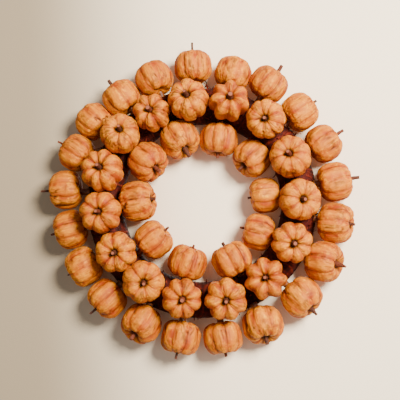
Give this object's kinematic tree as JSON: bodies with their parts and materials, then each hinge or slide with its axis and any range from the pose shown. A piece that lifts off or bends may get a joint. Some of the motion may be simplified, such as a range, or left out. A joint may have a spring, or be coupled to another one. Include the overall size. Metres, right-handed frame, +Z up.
{
  "type": "harvest door wreath",
  "caption": "Round hanging wreath of small ribbed pumpkins with twig stems, set in three rows on a paper-wrapped, flat-backed ring with a wire eye behind the top.",
  "frame": {"origin": "the point where a nail or hook carries the wire eye, in the plane of the door, so the wreath hangs below it", "axes": "+Z up, +Y from the front of the wreath into the door, +X to the right as seen from the front; the flat back lies on y = 0"},
  "size_m": [0.5605, 0.1163, 0.5586],
  "materials": {
    "pumpkin_paper": "matt, wrinkled, hand-painted orange paper skin with a faint wax sheen",
    "twig_stem": "matt brown bark with paler cut ends",
    "brown_paper": "dark red-brown paper ribbon, slightly glossy on its folds",
    "form_foam": "matt, fine-grained foam",
    "brown_wire": "dull brown enamelled floral wire",
    "hot_glue": "milky amber hot-melt glue"
  },
  "bodies": {
    "root": {"wreath_form": "form_foam", "paper_wrap": "brown_paper", "hanger_wire": "brown_wire", "pumpkin_outer_01": "pumpkin_paper", "pumpkin_outer_02": "pumpkin_paper", "pumpkin_outer_03": "pumpkin_paper", "pumpkin_outer_04": "pumpkin_paper", "pumpkin_outer_05": "pumpkin_paper", "pumpkin_outer_06": "pumpkin_paper", "pumpkin_outer_07": "pumpkin_paper", "pumpkin_outer_08": "pumpkin_paper", "pumpkin_outer_09": "pumpkin_paper", "pumpkin_outer_10": "pumpkin_paper", "pumpkin_outer_11": "pumpkin_paper", "pumpkin_outer_12": "pumpkin_paper", "pumpkin_outer_13": "pumpkin_paper", "pumpkin_outer_14": "pumpkin_paper", "pumpkin_outer_15": "pumpkin_paper", "pumpkin_outer_16": "pumpkin_paper", "pumpkin_outer_17": "pumpkin_paper", "pumpkin_outer_18": "pumpkin_paper", "pumpkin_outer_19": "pumpkin_paper", "pumpkin_outer_20": "pumpkin_paper", "pumpkin_outer_21": "pumpkin_paper", "pumpkin_front_01": "pumpkin_paper", "pumpkin_front_02": "pumpkin_paper", "pumpkin_front_03": "pumpkin_paper", "pumpkin_front_04": "pumpkin_paper", "pumpkin_front_05": "pumpkin_paper", "pumpkin_front_06": "pumpkin_paper", "pumpkin_front_07": "pumpkin_paper", "pumpkin_front_08": "pumpkin_paper", "pumpkin_front_09": "pumpkin_paper", "pumpkin_front_10": "pumpkin_paper", "pumpkin_front_11": "pumpkin_paper", "pumpkin_front_12": "pumpkin_paper", "pumpkin_front_13": "pumpkin_paper", "pumpkin_front_14": "pumpkin_paper", "pumpkin_front_15": "pumpkin_paper", "pumpkin_inner_01": "pumpkin_paper", "pumpkin_inner_02": "pumpkin_paper", "pumpkin_inner_03": "pumpkin_paper", "pumpkin_inner_04": "pumpkin_paper", "pumpkin_inner_05": "pumpkin_paper", "pumpkin_inner_06": "pumpkin_paper", "pumpkin_inner_07": "pumpkin_paper", "pumpkin_inner_08": "pumpkin_paper", "pumpkin_inner_09": "pumpkin_paper", "pumpkin_inner_10": "pumpkin_paper"}
  },
  "joints": []
}
